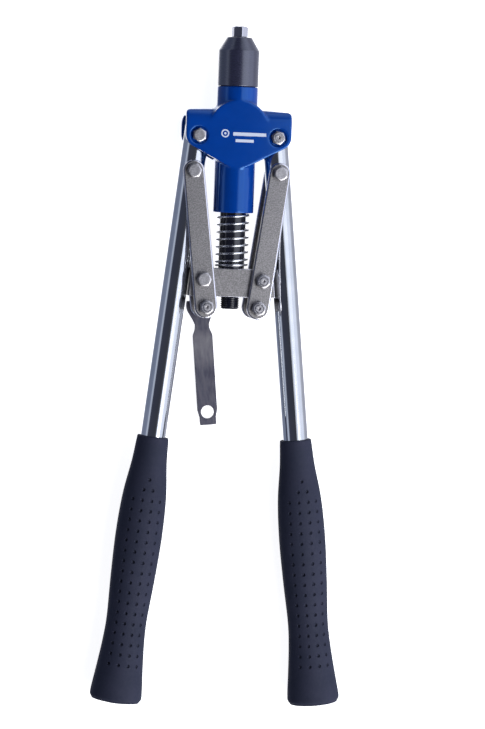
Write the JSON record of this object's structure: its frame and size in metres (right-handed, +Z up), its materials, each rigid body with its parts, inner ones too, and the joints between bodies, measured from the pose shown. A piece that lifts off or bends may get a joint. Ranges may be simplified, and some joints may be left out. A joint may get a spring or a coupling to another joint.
{
  "type": "hand riveter",
  "caption": "Long-arm two-handed blind riveter: cast head with hex nosepiece, tube handles with rubber grips, twin links, spring-returned draw rod and a parked spanner.",
  "frame": {"origin": "on the surface that the tool lies on, under the middle of its box", "axes": "+Y along the draw rod towards the nose, +X to the tool's right, +Z up from its back to its front"},
  "size_m": [0.1936, 0.52, 0.04],
  "materials": {
    "cast_blue": "gloss powder coat over a die casting",
    "black_steel": "satin black oxide",
    "polished_black": "polished black oxide",
    "chrome_tube": "bright chrome plate",
    "grip_rubber": "matt navy-black, dimpled",
    "nickel": "blasted nickel plate",
    "zinc_wire": "bright zinc plate",
    "bright_steel": "ground hardened steel",
    "gunmetal": "dark phosphate"
  },
  "bodies": {
    "head": {"body_casting": "cast_blue", "nose_sleeve": "black_steel", "nosepiece": "bright_steel", "return_spring": "zinc_wire", "pivot_bolt_left": "nickel", "pivot_nut_left": "nickel", "pivot_bolt_right": "nickel", "pivot_nut_right": "nickel"},
    "handle_left": {"handle_tube_left": "chrome_tube", "handle_grip_left": "grip_rubber"},
    "handle_right": {"handle_tube_right": "chrome_tube", "handle_grip_right": "grip_rubber"},
    "draw": {"yoke": "nickel", "draw_rod": "polished_black", "jaw_case": "bright_steel", "jaw_spring": "zinc_wire", "yoke_bolt_left": "nickel", "yoke_nut_left": "nickel", "yoke_bolt_right": "nickel", "yoke_nut_right": "nickel"},
    "jaws": {"jaw_1": "bright_steel", "jaw_2": "bright_steel", "jaw_3": "bright_steel", "jaw_pusher": "bright_steel"},
    "link_left": {"link_front_left": "nickel", "link_back_left": "nickel", "link_spacer_left": "nickel", "link_upper_bolt_left": "nickel", "link_upper_nut_left": "nickel"},
    "link_right": {"link_front_right": "nickel", "link_back_right": "nickel", "link_spacer_right": "nickel", "link_upper_bolt_right": "nickel", "link_upper_nut_right": "nickel", "link_lower_bolt_right": "nickel", "link_lower_nut_right": "nickel"},
    "spanner": {"spanner": "gunmetal", "link_lower_bolt_left": "nickel", "link_lower_nut_left": "nickel"}
  },
  "joints": [
    {"name": "handle_left_swing", "type": "hinge", "parent": "head", "child": "handle_left", "pos_m": [-0.0302, 0.1764, 0.02], "axis": [0, 0, -1], "range_deg": [0, 50], "stiffness_Nm_per_rad": 0.3, "springref_deg": -22.92},
    {"name": "handle_right_swing", "type": "hinge", "parent": "head", "child": "handle_right", "pos_m": [0.0302, 0.1764, 0.02], "axis": [0, 0, 1], "range_deg": [0, 50]},
    {"name": "draw_slide", "type": "slide", "parent": "head", "child": "draw", "axis": [0, 1, 0], "range_m": [0, 0.017], "deforming": ["return_spring"]},
    {"name": "link_left_swing", "type": "hinge", "parent": "draw", "child": "link_left", "pos_m": [-0.0227, 0.0673, 0.02], "axis": [0, 0, 1], "range_deg": [0, 14]},
    {"name": "link_right_swing", "type": "hinge", "parent": "draw", "child": "link_right", "pos_m": [0.0227, 0.0673, 0.02], "axis": [0, 0, -1], "range_deg": [0, 14]},
    {"name": "jaws_slide", "type": "slide", "parent": "draw", "child": "jaws", "axis": [0, -1, 0], "range_m": [0, 0.0025], "deforming": ["jaw_spring"]},
    {"name": "spanner_swing", "type": "hinge", "parent": "link_left", "child": "spanner", "pos_m": [-0.02005, 0.04637, 0.02], "axis": [0, 0, 1], "range_deg": [-60, 35]}
  ],
  "couplings": [
    {"joint": "handle_right_swing", "follows": "handle_left_swing", "ratio": 1},
    {"joint": "draw_slide", "follows": "handle_left_swing", "m_per_rad": 0.019204},
    {"joint": "link_left_swing", "follows": "handle_left_swing", "ratio": 0.27896},
    {"joint": "link_right_swing", "follows": "handle_left_swing", "ratio": 0.27896},
    {"joint": "jaws_slide", "follows": "handle_left_swing", "m_per_rad": 0.0028}
  ]
}
